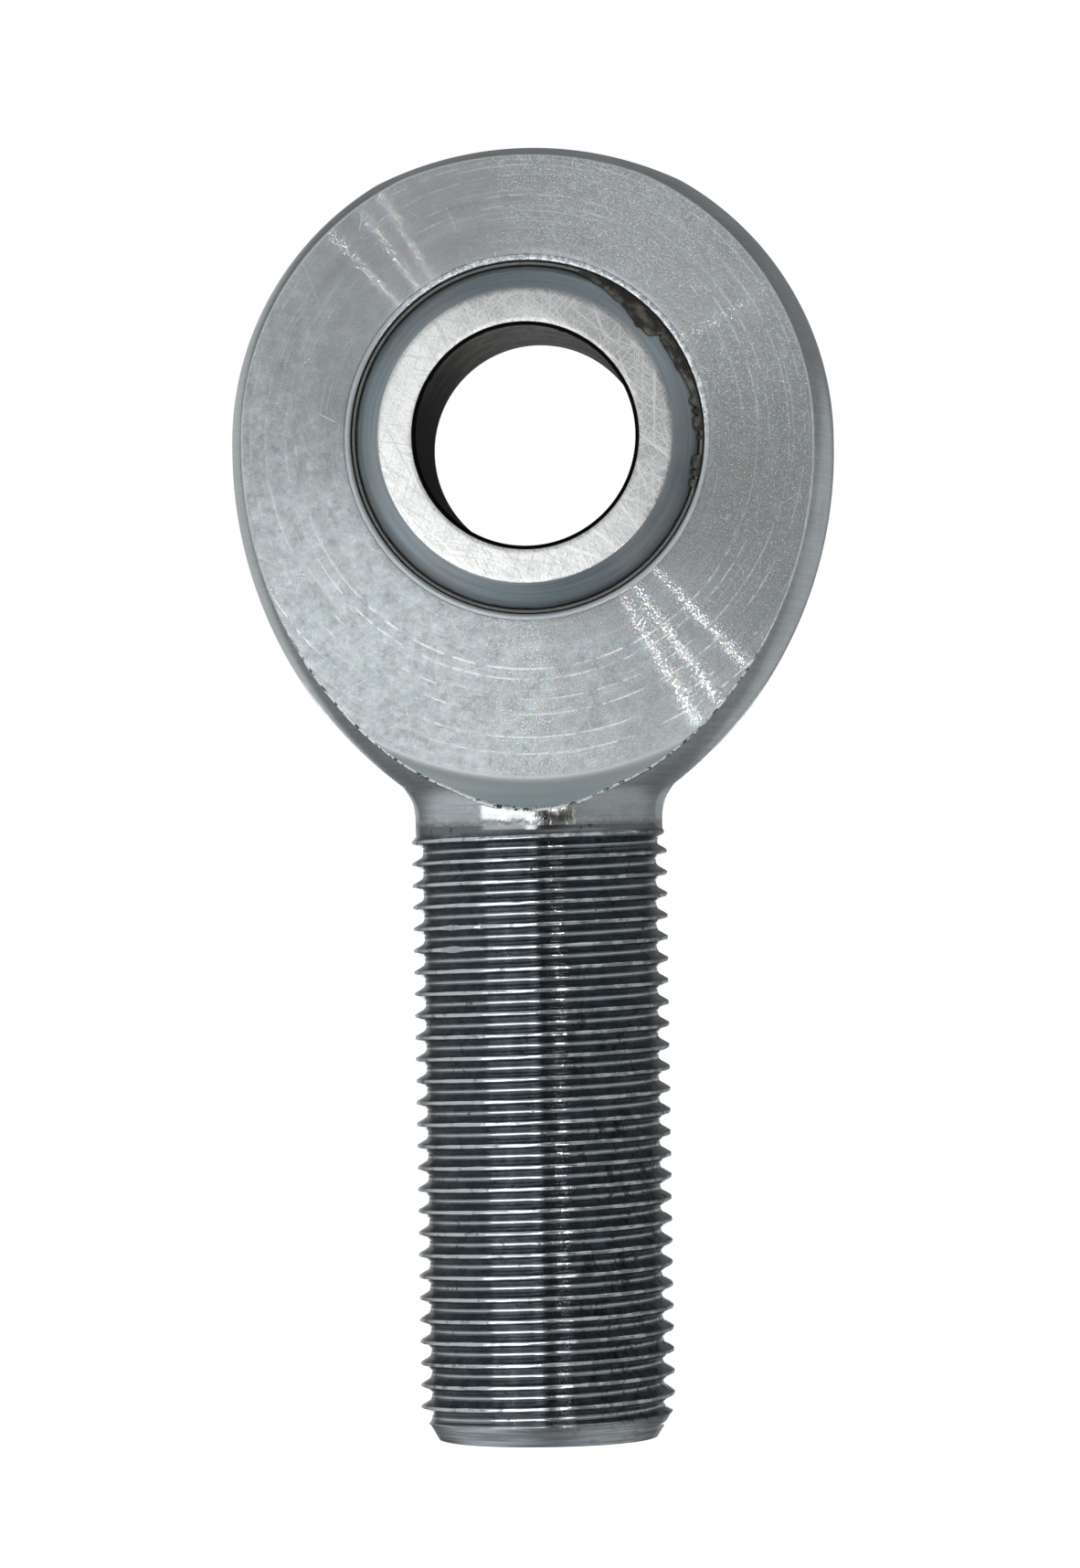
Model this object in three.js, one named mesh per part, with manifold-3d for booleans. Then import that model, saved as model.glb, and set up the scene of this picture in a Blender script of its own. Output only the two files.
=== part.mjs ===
// A male rod end: a threaded body whose eye holds a swaged race, a self-lubricating liner and a ball.
//
// Frame: millimetres, +Z up. The origin is the centre of the shank's end face, +Z runs up the shank
// to the eye and the bore runs along Y. Each piece is made about the ball's centre, the point both
// axes share, and a group lifts them all by the shank's length.
//
// The body is turned about Z, then faced and bored about Y, so its shape is one turned blank less
// two facing cuts and the race's pocket, joined to the rolled thread.

import * as THREE from "three";
import { mergeVertices } from "three/addons/utils/BufferGeometryUtils.js";
import Module from "manifold-3d";

const wasm = await Module();
wasm.setup();

// ---- Driving dimensions -------------------------------------------------------------------------

const INCH = 25.4;

// Ball: 5/8 inch bore, 3/4 inch wide, 1 1/8 inch sphere.
const BALL = { radius: 0.5625 * INCH, halfWidth: 0.375 * INCH, boreRadius: 0.3125 * INCH };
BALL.boreChamfer = 0.3;
BALL.faceEdgeBreak = 0.12;

// Eye: 1 3/4 inch across less its turning allowance, 0.593 inch thick.
const EYE = { radius: 22.1, halfWidth: 0.2965 * INCH };
EYE.crownRadius = 25.5; // flatter arc over the very top of the turned head
EYE.crownHeight = 21.62;
EYE.landHeight = 0.6; // short straight land at the widest point
EYE.shoulderRadius = 31.4; // arc of the taper from the land down to the neck

// Shank: 3/4-16 UNF right-hand thread, rolled, so the plain neck is close to the pitch diameter.
const SHANK = { length: 2.875 * INCH, neckRadius: 9.06, neckFillet: 3 };
const THREAD = { length: 1.75 * INCH, pitch: INCH / 16, majorRadius: 9.4, rootRadius: 8.52 };
THREAD.runOut = 1.5 * THREAD.pitch; // the profile fades into the neck over this length
THREAD.endRadius = 8.1;
THREAD.endChamferAngle = THREE.MathUtils.degToRad(30); // from the shank's axis

// Facing cut that makes each flat of the eye: a disc-shaped cut with a rounded corner.
const FACING = { radius: 25.1, cornerRadius: 2.2 };

// Race, liner and the running gaps that keep the faceted spheres apart.
const SPHERE_GAP = 0.06;
const LINER = { thickness: 0.34, edgeRecess: 0.5 };
const RACE = { outerRadius: 15.85, rimOuterRadius: 13.25, halfWidth: EYE.halfWidth - 0.04 };
const POCKET_GAP = 0.05;

// How far each cutting shape runs past what it cuts.
const CUTTER_MARGIN = 2;

// Facets.
const ROUND_SEGMENTS = 64;
const THREAD_SEGMENTS = 24;
const ARC_STEP = THREE.MathUtils.degToRad(7);
const FILLET_STEP = THREE.MathUtils.degToRad(15);

// ---- Small helpers ------------------------------------------------------------------------------

const point = (x, y) => new THREE.Vector2(x, y);

const CENTRE = point(0, 0);

// Points of a circular arc, from angle start to end (radians), both ends included.
function arc(centre, radius, start, end, step = ARC_STEP) {
  const count = Math.max(1, Math.ceil(Math.abs(end - start) / step));
  return Array.from({ length: count + 1 }, (_, i) => {
    const angle = start + ((end - start) * i) / count;
    return point(centre.x + radius * Math.cos(angle), centre.y + radius * Math.sin(angle));
  });
}

// A BufferGeometry as a manifold-3d solid.
function toSolid(geometry) {
  const bare = geometry.clone();
  bare.deleteAttribute("normal");
  bare.deleteAttribute("uv");
  const merged = mergeVertices(bare, 1e-4);
  const vertProperties = new Float32Array(merged.attributes.position.array);
  const triVerts = new Uint32Array(merged.index.array);
  const solid = new wasm.Manifold(new wasm.Mesh({ numProp: 3, vertProperties, triVerts }));
  if (solid.volume() <= 0) throw new Error("a profile is wound the wrong way round");
  return solid;
}

// A manifold-3d solid as a BufferGeometry with flat facets.
function toGeometry(solid) {
  const mesh = solid.getMesh();
  const geometry = new THREE.BufferGeometry();
  geometry.setAttribute("position", new THREE.BufferAttribute(mesh.vertProperties, 3));
  geometry.setIndex(new THREE.BufferAttribute(mesh.triVerts, 1));
  return geometry;
}

// Profiles are (radius, height) points. They turn about Y, the bore's axis.
function turnedAboutBore(profile) {
  return new THREE.LatheGeometry(profile, ROUND_SEGMENTS);
}

// The same, about Z, the shank's axis.
function turnedAboutShank(profile) {
  return new THREE.LatheGeometry(profile, ROUND_SEGMENTS).rotateX(Math.PI / 2);
}

// ---- Body ---------------------------------------------------------------------------------------

const THREAD_TOP = THREAD.length - SHANK.length;
const SHANK_END = -SHANK.length;

// The shoulder arc's centre: level with the bottom of the land, so the arc leaves it tangent.
const SHOULDER_CENTRE = point(EYE.radius - EYE.shoulderRadius, -EYE.landHeight);

// The turned blank: crown, spherical head, shoulder arc, neck fillet and neck.
function turnedBlank() {
  const crownCentre = EYE.crownHeight - EYE.crownRadius;
  // Where the crown's arc meets the sphere, seen from each centre.
  const gap = Math.abs(crownCentre);
  const crownSpan = Math.acos(
    (EYE.crownRadius ** 2 + gap ** 2 - EYE.radius ** 2) / (2 * EYE.crownRadius * gap),
  );
  const meetHeight = crownCentre + EYE.crownRadius * Math.cos(crownSpan);
  const meetAngle = Math.asin(meetHeight / EYE.radius);

  // The neck fillet touches the shoulder arc from outside and the neck from outside.
  const across = SHANK.neckRadius + SHANK.neckFillet - SHOULDER_CENTRE.x;
  const down = Math.sqrt((EYE.shoulderRadius + SHANK.neckFillet) ** 2 - across ** 2);
  const fillet = point(SHOULDER_CENTRE.x + across, SHOULDER_CENTRE.y - down);
  const filletAngle = -Math.atan2(down, across);

  const neckBottom = THREAD_TOP - THREAD.runOut / 2;
  const upperHalf = Math.PI / 2;
  return toSolid(
    turnedAboutShank([
      point(0, neckBottom),
      point(SHANK.neckRadius, neckBottom),
      ...arc(fillet, SHANK.neckFillet, Math.PI, Math.PI + filletAngle, FILLET_STEP),
      ...arc(SHOULDER_CENTRE, EYE.shoulderRadius, filletAngle, 0).slice(1),
      ...arc(CENTRE, EYE.radius, 0, meetAngle),
      ...arc(point(0, crownCentre), EYE.crownRadius, upperHalf - crownSpan, upperHalf).slice(1, -1),
      point(0, EYE.crownHeight),
    ]),
  );
}

// What one facing tool removes, on the side where y is positive (side 1) or negative (side -1).
function facingCut(side) {
  const { radius, cornerRadius } = FACING;
  const corner = point(radius, EYE.halfWidth + cornerRadius);
  const beyond = EYE.radius + CUTTER_MARGIN;
  const profile = [
    point(0, EYE.halfWidth),
    ...arc(corner, cornerRadius, -Math.PI / 2, 0, FILLET_STEP),
    point(radius + cornerRadius, beyond),
    point(0, beyond),
  ];
  const cut = turnedAboutBore(profile);
  return toSolid(side > 0 ? cut : cut.rotateX(Math.PI));
}

// The race's outside, grown by a gap: a cylinder with a 45 degree cone at each end. The body is
// swaged over those cones, so only the race's thin rims show.
function raceOutside(gap, halfWidth) {
  const outer = RACE.outerRadius + gap;
  const rim = RACE.rimOuterRadius + gap;
  const coneStart = RACE.halfWidth - (RACE.outerRadius - RACE.rimOuterRadius);
  return [
    point(rim, -halfWidth),
    point(rim, -RACE.halfWidth),
    point(outer, -coneStart),
    point(outer, coneStart),
    point(rim, RACE.halfWidth),
    point(rim, halfWidth),
  ];
}

function racePocket() {
  const through = EYE.halfWidth + CUTTER_MARGIN;
  const wall = raceOutside(POCKET_GAP, through);
  return toSolid(turnedAboutBore([point(0, -through), ...wall, point(0, through)]));
}

// Radius of the thread's profile corners, as shares of the pitch going up: a flat crest an eighth
// of the pitch wide, 30 degree flanks and a narrow root.
const FLANK = ((THREAD.majorRadius - THREAD.rootRadius) * Math.tan(Math.PI / 6)) / THREAD.pitch;
const CREST = 1 / 8;
const THREAD_PROFILE = [
  { share: 0, radius: THREAD.majorRadius },
  { share: CREST, radius: THREAD.majorRadius },
  { share: CREST + FLANK, radius: THREAD.rootRadius },
  { share: 1 - FLANK, radius: THREAD.rootRadius },
];

// A right-hand screw, one pitch longer than the thread at each end, with a ragged last turn at
// both ends that the envelope below trims away.
function rawScrew() {
  const turns = Math.round(THREAD.length / THREAD.pitch) + 2;
  const rowsPerTurn = THREAD_PROFILE.length;
  const rows = turns * rowsPerTurn + 1;
  const base = SHANK_END - 2 * THREAD.pitch;
  const positions = [];
  for (let i = 0; i <= THREAD_SEGMENTS; i++) {
    const turn = i / THREAD_SEGMENTS;
    const angle = 2 * Math.PI * turn;
    for (let j = 0; j < rows; j++) {
      const corner = THREAD_PROFILE[j % rowsPerTurn];
      const z = base + THREAD.pitch * (Math.floor(j / rowsPerTurn) + corner.share + turn);
      const depth = THREE.MathUtils.clamp((THREAD_TOP - z) / THREAD.runOut, 0, 1);
      const radius = THREE.MathUtils.lerp(SHANK.neckRadius, corner.radius, depth);
      positions.push(radius * Math.cos(angle), radius * Math.sin(angle), z);
    }
  }
  const at = (i, j) => i * rows + j;
  const index = [];
  for (let i = 0; i < THREAD_SEGMENTS; i++) {
    for (let j = 0; j < rows - 1; j++) {
      index.push(at(i, j), at(i + 1, j), at(i + 1, j + 1));
      index.push(at(i, j), at(i + 1, j + 1), at(i, j + 1));
    }
  }
  // Each end is a fan from the axis round the last turn and down the one-pitch step in it.
  const closeEnd = (row, step, axisZ) => {
    const hub = positions.length / 3;
    positions.push(0, 0, axisZ);
    const rim = Array.from({ length: THREAD_SEGMENTS + 1 }, (_, i) => at(i, row));
    for (let j = rowsPerTurn - 1; j > 0; j--) rim.push(step(j));
    rim.forEach((a, k) => {
      const b = rim[(k + 1) % rim.length];
      if (row === 0) index.push(hub, b, a);
      else index.push(hub, a, b);
    });
  };
  const last = rows - 1;
  closeEnd(0, (j) => at(0, j), base);
  closeEnd(last, (j) => at(THREAD_SEGMENTS, last - rowsPerTurn + j), base + THREAD.pitch * turns);
  const geometry = new THREE.BufferGeometry();
  geometry.setAttribute("position", new THREE.Float32BufferAttribute(positions, 3));
  geometry.setIndex(index);
  return toSolid(geometry);
}

// The cylinder that trims the screw, chamfered at the shank's end.
function threadEnvelope() {
  const clear = THREAD.majorRadius + CUTTER_MARGIN;
  const chamferHeight = (clear - THREAD.endRadius) / Math.tan(THREAD.endChamferAngle);
  const top = THREAD_TOP - THREAD.runOut / 4;
  return toSolid(
    turnedAboutShank([
      point(0, SHANK_END),
      point(THREAD.endRadius, SHANK_END),
      point(clear, SHANK_END + chamferHeight),
      point(clear, top),
      point(0, top),
    ]),
  );
}

function rodEndBody() {
  return turnedBlank()
    .subtract(facingCut(1))
    .subtract(facingCut(-1))
    .subtract(racePocket())
    .add(rawScrew().intersect(threadEnvelope()));
}

// ---- Race, liner and ball -----------------------------------------------------------------------

// A ring between the turned outside and a sphere of this radius inside, closed on itself.
function ringOverSphere(outside, sphereRadius, halfAngle) {
  const inside = arc(CENTRE, sphereRadius, halfAngle, -halfAngle);
  return turnedAboutBore([...outside, ...inside, outside[0]]);
}

const LINER_INNER = BALL.radius + SPHERE_GAP;
const LINER_OUTER = LINER_INNER + LINER.thickness;
const LINER_HALF_ANGLE = Math.asin((RACE.halfWidth - LINER.edgeRecess) / LINER_OUTER);
const SEAT_RADIUS = LINER_OUTER + SPHERE_GAP;

function outerRace() {
  const outside = raceOutside(0, RACE.halfWidth).slice(1, -1);
  return ringOverSphere(outside, SEAT_RADIUS, Math.asin(RACE.halfWidth / SEAT_RADIUS));
}

function liner() {
  const outside = arc(CENTRE, LINER_OUTER, -LINER_HALF_ANGLE, LINER_HALF_ANGLE);
  return ringOverSphere(outside, LINER_INNER, LINER_HALF_ANGLE);
}

function ball() {
  const { radius, halfWidth, boreRadius, boreChamfer, faceEdgeBreak } = BALL;
  const zone = Math.asin((halfWidth - faceEdgeBreak) / radius);
  const faceRadius = Math.sqrt(radius ** 2 - halfWidth ** 2) - faceEdgeBreak / 2;
  const chamferStart = halfWidth - boreChamfer;
  const profile = [
    point(boreRadius + boreChamfer, -halfWidth),
    point(faceRadius, -halfWidth),
    ...arc(CENTRE, radius, -zone, zone),
    point(faceRadius, halfWidth),
    point(boreRadius + boreChamfer, halfWidth),
    point(boreRadius, chamferStart),
    point(boreRadius, -chamferStart),
  ];
  return turnedAboutBore([...profile, profile[0]]);
}

// ---- Materials and assembly ---------------------------------------------------------------------

function metal(color, roughness) {
  return new THREE.MeshStandardMaterial({ color, roughness, metalness: 1 });
}

const platedSteel = metal(0x9aa1a5, 0.42);
const raceSteel = metal(0x6f777c, 0.35);
const ballSteel = metal(0xc4c5c3, 0.3);
const linerCloth = new THREE.MeshStandardMaterial({ color: 0x5a5038, roughness: 0.9 });

// Everything in this group is placed about the ball's centre.
const aboutBallCentre = new THREE.Group();
aboutBallCentre.position.z = SHANK.length;

const rodEnd = new THREE.Group();
rodEnd.add(aboutBallCentre);

function addPiece(name, geometry, material) {
  const mesh = new THREE.Mesh(geometry, material);
  mesh.name = name;
  aboutBallCentre.add(mesh);
}

addPiece("rod_end_body", toGeometry(rodEndBody()), platedSteel);
addPiece("outer_race", outerRace(), raceSteel);
addPiece("ptfe_liner", liner(), linerCloth);
addPiece("ball", ball(), ballSteel);

export default rodEnd;
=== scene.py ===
"""A male rod end bearing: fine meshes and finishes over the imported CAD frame.

Shapes are worked out in millimetres about the ball's centre, with Y along the bore and Z up the
shank, and become metres in the row frame when a mesh is made.
"""
import math

import bmesh
import bpy
import numpy as np
from mathutils import Matrix, Vector


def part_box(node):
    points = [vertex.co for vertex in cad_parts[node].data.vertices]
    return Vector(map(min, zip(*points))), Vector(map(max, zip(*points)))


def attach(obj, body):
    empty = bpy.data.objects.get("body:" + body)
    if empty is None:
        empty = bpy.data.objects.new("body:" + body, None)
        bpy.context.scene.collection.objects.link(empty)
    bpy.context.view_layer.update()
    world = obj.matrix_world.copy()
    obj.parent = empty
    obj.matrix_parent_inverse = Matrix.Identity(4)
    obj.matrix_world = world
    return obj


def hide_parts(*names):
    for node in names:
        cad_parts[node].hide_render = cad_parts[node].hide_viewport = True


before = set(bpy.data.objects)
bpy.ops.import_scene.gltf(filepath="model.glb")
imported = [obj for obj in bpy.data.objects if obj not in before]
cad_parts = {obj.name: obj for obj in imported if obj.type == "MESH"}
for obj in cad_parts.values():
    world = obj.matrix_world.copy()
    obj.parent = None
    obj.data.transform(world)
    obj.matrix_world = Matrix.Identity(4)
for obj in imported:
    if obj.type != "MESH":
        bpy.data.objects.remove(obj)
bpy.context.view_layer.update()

MM = 0.001
TAU = 2 * math.pi

# ---- Sizes, in millimetres ----------------------------------------------------------------------

BALL_LOW, BALL_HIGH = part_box("ball")
BODY_LOW, BODY_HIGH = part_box("rod_end_body")
CENTRE = (BALL_LOW + BALL_HIGH) / 2

BALL_RADIUS = (BALL_HIGH.x - BALL_LOW.x) / 2 / MM
BALL_HALF_WIDTH = (BALL_HIGH.y - BALL_LOW.y) / 2 / MM
BORE_RADIUS = 7.9375
BORE_CHAMFER = 0.3

EYE_RADIUS = BODY_HIGH.x / MM
EYE_HALF_WIDTH = 7.53
CROWN_RADIUS = 25.5
CROWN_TOP = (BODY_HIGH.z - CENTRE.z) / MM
LAND_HEIGHT = 0.6
SHOULDER_RADIUS = 31.4
FACING_RADIUS = 24.45
FACING_CORNER = 2.75
OPENING_RADIUS = 13.28
OPENING_BREAK = 0.045

NECK_RADIUS = 9.06
NECK_FILLET = 3.0
SHANK_END = (BODY_LOW.z - CENTRE.z) / MM
THREAD_TOP = SHANK_END + 44.7
PITCH = 25.4 / 16
THREAD_RADIUS = 9.36
THREAD_DEPTH = 0.80
THREAD_PHASE = 0.54
ROOT_ROUND = 0.38
END_RADIUS = 8.1
END_BREAK = 0.06
NECK_SPLIT = -28.1  # height of the seam between the neck's grid and the thread's

# Dark band above the thread, and the stain on the front of the neck.
BAND_TOP = THREAD_TOP + 0.4
STAIN_X = 1.6
STAIN_Z = -27.4

SEAT_RADIUS = 14.7475
LINER_INNER = 14.3475
LINER_OUTER = 14.6875
LINER_EDGE = 7.2
RACE_OUTER = 15.85
RACE_RIM_OUTER = 13.25
RACE_HALF_WIDTH = 7.49

# How finely the meshes are divided, and how near points are welded.
AROUND_BORE = 720
AROUND_RING = 320
AROUND_LINER = 480
ACROSS_LINER = 49
ACROSS_SIDE = 56
APRON_COLUMNS = 24
WELD = 0.002

# Rings of mesh on the flats that are true circles about the bore.
CIRCLES_START = 13.8
CIRCLES_END = 20.4
CIRCLE_STEP = 0.42

# Radii between which the turned surface and the flat's edge are looked for.
SIDE_SEARCH = (12.0, 23.5)
EDGE_SEARCH = (17.0, 29.0)

# Rows of the side are level below the first height and radial above the second.
LEVEL_BELOW = -18
PLANES_ABOVE = -6


# ---- Smooth repeatable noise --------------------------------------------------------------------

def wavy(angle, seed, waves=(3, 5, 9, 14, 23, 37, 61, 97), fade=0.35):
    """Noise between about -1 and 1 that closes on itself over a full turn of angle."""
    rng = np.random.default_rng(seed)
    total = np.zeros_like(angle, dtype=float)
    weight = 0.0
    for n in waves:
        size = n ** -fade
        total += size * np.sin(n * angle + rng.uniform(0, TAU))
        weight += size * size
    return total / math.sqrt(weight * 2)


def bump(value, centre, width):
    """A smooth hump of height 1 at centre."""
    return np.exp(-(((value - centre) / width) ** 2))


def ease(value, low, high):
    """0 below low, 1 above high and smooth between."""
    t = np.clip((value - low) / (high - low), 0, 1)
    return t * t * (3 - 2 * t)


# ---- Mesh building ------------------------------------------------------------------------------

class Skin:
    """A closed surface gathered as grids of quads, welded where the grids share edge points."""

    def __init__(self):
        self.points = []
        self.quads = []
        self.finishes = []
        self.count = 0

    def grid(self, points, finish=0, wrap=False):
        """points has shape (rows, columns, 3). wrap joins the last column to the first."""
        rows, columns = points.shape[:2]
        index = self.count + np.arange(rows * columns).reshape(rows, columns)
        if wrap:
            index = np.concatenate([index, index[:, :1]], axis=1)
        quads = np.stack(
            [index[:-1, :-1], index[:-1, 1:], index[1:, 1:], index[1:, :-1]], axis=-1
        ).reshape(-1, 4)
        self.points.append(points.reshape(-1, 3))
        self.quads.append(quads)
        self.finishes.append(np.full(len(quads), finish))
        self.count += rows * columns

    def to_object(self, name, materials):
        points = np.concatenate(self.points) * MM + np.array(CENTRE)
        quads = np.concatenate(self.quads)
        mesh = bpy.data.meshes.new(name)
        mesh.from_pydata(points.tolist(), [], quads.tolist())
        for material in materials:
            mesh.materials.append(material)
        mesh.polygons.foreach_set("material_index", np.concatenate(self.finishes).astype(np.int32))
        work = bmesh.new()
        work.from_mesh(mesh)
        bmesh.ops.remove_doubles(work, verts=work.verts, dist=WELD * MM)
        bmesh.ops.dissolve_degenerate(work, edges=work.edges, dist=WELD * MM)
        bmesh.ops.recalc_face_normals(work, faces=work.faces)
        for face in work.faces:
            face.smooth = True
        work.to_mesh(mesh)
        work.free()
        piece = bpy.data.objects.new(name, mesh)
        bpy.context.scene.collection.objects.link(piece)
        return piece


def on_bore_axis(radius, y, angle):
    """Points at a radius from the bore's axis and a height along it, shapes broadcast."""
    radius, y, angle = np.broadcast_arrays(radius, y, angle)
    return np.stack([radius * np.cos(angle), y, radius * np.sin(angle)], axis=-1)


def around(columns):
    return np.linspace(0, TAU, columns, endpoint=False)


# ---- The body's turned outline ------------------------------------------------------------------

SHOULDER_X = EYE_RADIUS - SHOULDER_RADIUS
CROWN_Z = CROWN_TOP - CROWN_RADIUS
CROWN_MEET = (CROWN_RADIUS ** 2 - EYE_RADIUS ** 2 - CROWN_Z ** 2) / (-2 * CROWN_Z)
FILLET_X = NECK_RADIUS + NECK_FILLET
FILLET_REACH = SHOULDER_RADIUS + NECK_FILLET
FILLET_Z = -LAND_HEIGHT - math.sqrt(FILLET_REACH ** 2 - (FILLET_X - SHOULDER_X) ** 2)
FILLET_TOP = -LAND_HEIGHT + (FILLET_Z + LAND_HEIGHT) * SHOULDER_RADIUS / FILLET_REACH


def root(value):
    return np.sqrt(np.maximum(value, 0))


def turned_radius(z):
    """Radius of the turned head and neck at a height, 0 above the crown."""
    crown = root(CROWN_RADIUS ** 2 - (z - CROWN_Z) ** 2)
    sphere = root(EYE_RADIUS ** 2 - z ** 2)
    shoulder = SHOULDER_X + root(SHOULDER_RADIUS ** 2 - (z + LAND_HEIGHT) ** 2)
    fillet = FILLET_X - root(NECK_FILLET ** 2 - (z - FILLET_Z) ** 2)
    return np.select(
        [z > CROWN_TOP, z > CROWN_MEET, z > 0, z > -LAND_HEIGHT, z > FILLET_TOP, z > FILLET_Z],
        [np.zeros_like(z), crown, sphere, np.full_like(z, EYE_RADIUS), shoulder, fillet],
        NECK_RADIUS,
    )


# Faint rings that the facing tool left: radius, width and depth.
TOOL_RINGS = ((16.8, 0.08, 0.003), (17.55, 0.07, 0.003), (19.0, 0.06, 0.003), (20.1, 0.06, 0.003),
              (21.75, 0.07, 0.006), (22.95, 0.07, 0.006))


def face_depth(radius):
    """Distance from the eye's middle plane to its flat, rising in the facing cut's corner."""
    inside = np.clip(radius - FACING_RADIUS, 0, FACING_CORNER)
    corner = FACING_CORNER - root(FACING_CORNER ** 2 - inside ** 2)
    beyond = np.maximum(radius - FACING_RADIUS - FACING_CORNER, 0)
    grooves = sum(depth * bump(radius, at, width) for at, width, depth in TOOL_RINGS)
    return EYE_HALF_WIDTH + corner + 4 * beyond - grooves


def bisect(function, low, high, steps=48):
    """Where function, positive at low and negative at high, crosses zero, for whole arrays."""
    for _ in range(steps):
        middle = (low + high) / 2
        positive = function(middle) > 0
        low = np.where(positive, middle, low)
        high = np.where(positive, high, middle)
    return (low + high) / 2


def head_radius(angle, y):
    """Distance from the bore's axis to the turned surface, in the half plane at angle."""
    def inside(rho):
        return turned_radius(rho * np.sin(angle)) ** 2 - (rho * np.cos(angle)) ** 2 - y ** 2
    return bisect(inside, np.full_like(y, SIDE_SEARCH[0]), np.full_like(y, SIDE_SEARCH[1]))


def turned_point(theta, z):
    radius = turned_radius(z)
    return np.stack([radius * np.cos(theta), radius * np.sin(theta), z + 0 * radius], axis=-1)


def turned_normal(theta, z):
    step = 0.01
    slope = (turned_radius(z + step) - turned_radius(z - step)) / (2 * step)
    return unit(np.stack([np.cos(theta), np.sin(theta), -slope], axis=-1))


def unit(vectors):
    return vectors / np.linalg.norm(vectors, axis=-1, keepdims=True)


# ---- Body ---------------------------------------------------------------------------------------

# Places of the finishes in the body's list of materials.
FLAT, TURNED, THREADED, EDGE = 0, 1, 2, 3

BURR_WAVES = (11, 23, 41, 67, 97, 139, 191, 233)


def body_edge(angle):
    """The corner where the front flat meets the turned surface, and both sides of its edge break."""
    def inside(rho):
        x, z = rho * np.cos(angle), rho * np.sin(angle)
        return turned_radius(z) ** 2 - x ** 2 - face_depth(rho) ** 2
    rho = bisect(inside, np.full_like(angle, EDGE_SEARCH[0]), np.full_like(angle, EDGE_SEARCH[1]))
    corner = on_bore_axis(rho, -face_depth(rho), angle)
    tangent = unit(np.roll(corner, -1, axis=0) - np.roll(corner, 1, axis=0))
    theta = np.arctan2(corner[:, 1], corner[:, 0])
    normal = turned_normal(theta, corner[:, 2])
    away = np.cross(normal, tangent)
    outward = np.stack([np.cos(angle), np.ones_like(angle), np.sin(angle)], axis=-1)
    away *= np.sign(np.sum(away * outward, axis=-1, keepdims=True))

    # The break is narrow and uneven, and low down the tool pushed up a ragged burr.
    low_down = bump(np.abs(np.angle(np.exp(1j * (angle + TAU / 4)))), 0, 0.75)
    width = 0.11 + 0.035 * wavy(angle, 11)
    burr = low_down * (0.06 + 0.26 * np.maximum(wavy(angle, 12, BURR_WAVES), 0))
    start = on_bore_axis(rho - width, -face_depth(rho - width), angle)
    end = corner + away * width[:, None]
    lifted = corner + unit(normal + np.array([0, -1, 0])) * burr[:, None]
    return rho - width, start, lifted, end


def mirrored(points):
    return points * np.array([1, -1, 1])


def add_faces(skin, angle, edge_rho):
    """Both flats: true circles out to where the rim begins, then rings that spread to the edge."""
    opening = OPENING_RADIUS + OPENING_BREAK * np.array([0.0, 0.13, 0.44, 1.0])
    opening_drop = OPENING_BREAK * np.array([1.0, 0.44, 0.13, 0.0])
    ring_points = [radius + offset * width for radius, width, _ in TOOL_RINGS if radius < CIRCLES_END
                   for offset in (-2, -1, 0, 1, 2)]
    circles = np.sort(np.concatenate([np.arange(CIRCLES_START, CIRCLES_END, CIRCLE_STEP), ring_points]))
    inner = np.concatenate([opening, circles])
    drop = np.concatenate([opening_drop, np.zeros(len(circles))])
    spread = np.linspace(0, 1, 50)[1:, None] ** 0.9
    outer = circles[-1] + spread * (edge_rho - circles[-1])[None, :]
    rho = np.concatenate([np.repeat(inner[:, None], len(angle), axis=1), outer])
    depth = face_depth(rho)
    depth[: len(drop)] -= drop[:, None]
    front = on_bore_axis(rho, -depth, angle[None, :])
    skin.grid(front, FLAT, wrap=True)
    skin.grid(mirrored(front), FLAT, wrap=True)


def add_edge_breaks(skin, start, corner, end):
    rows = []
    for t in np.linspace(0, 1, 5):
        rows.append((1 - t) ** 2 * start + 2 * t * (1 - t) * corner + t ** 2 * end)
    rows = np.stack(rows)
    skin.grid(rows, EDGE, wrap=True)
    skin.grid(mirrored(rows), EDGE, wrap=True)


def side_paths(end):
    """From the front edge round the turned side to the back edge, one row per point of the edge.

    Low rows keep their height round the neck. High rows stay in a half plane of the bore's axis,
    which carries them over the crown.
    """
    t = np.linspace(-1, 1, ACROSS_SIDE + 1)[None, :]
    y_end = -end[:, 1:2]
    z_end = end[:, 2:3]
    turned = turned_radius(z_end)
    span = np.arcsin(np.clip(y_end / turned, -1, 1))
    y_level = turned * np.sin(span * t)
    high = ease(z_end, LEVEL_BELOW, PLANES_ABOVE)
    y = (1 - high) * y_level + high * y_end * t
    angle = np.arctan2(z_end, end[:, 0:1]) + 0 * y
    rho = head_radius(angle, y)
    z = (1 - high) * z_end + high * rho * np.sin(angle)
    x = root(turned_radius(z) ** 2 - y ** 2) * np.sign(np.cos(angle))
    x_plane = rho * np.cos(angle)
    x = np.where(high > 0.999, x_plane, x)
    return np.stack([x, y, z + 0 * y], axis=-1)


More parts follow.
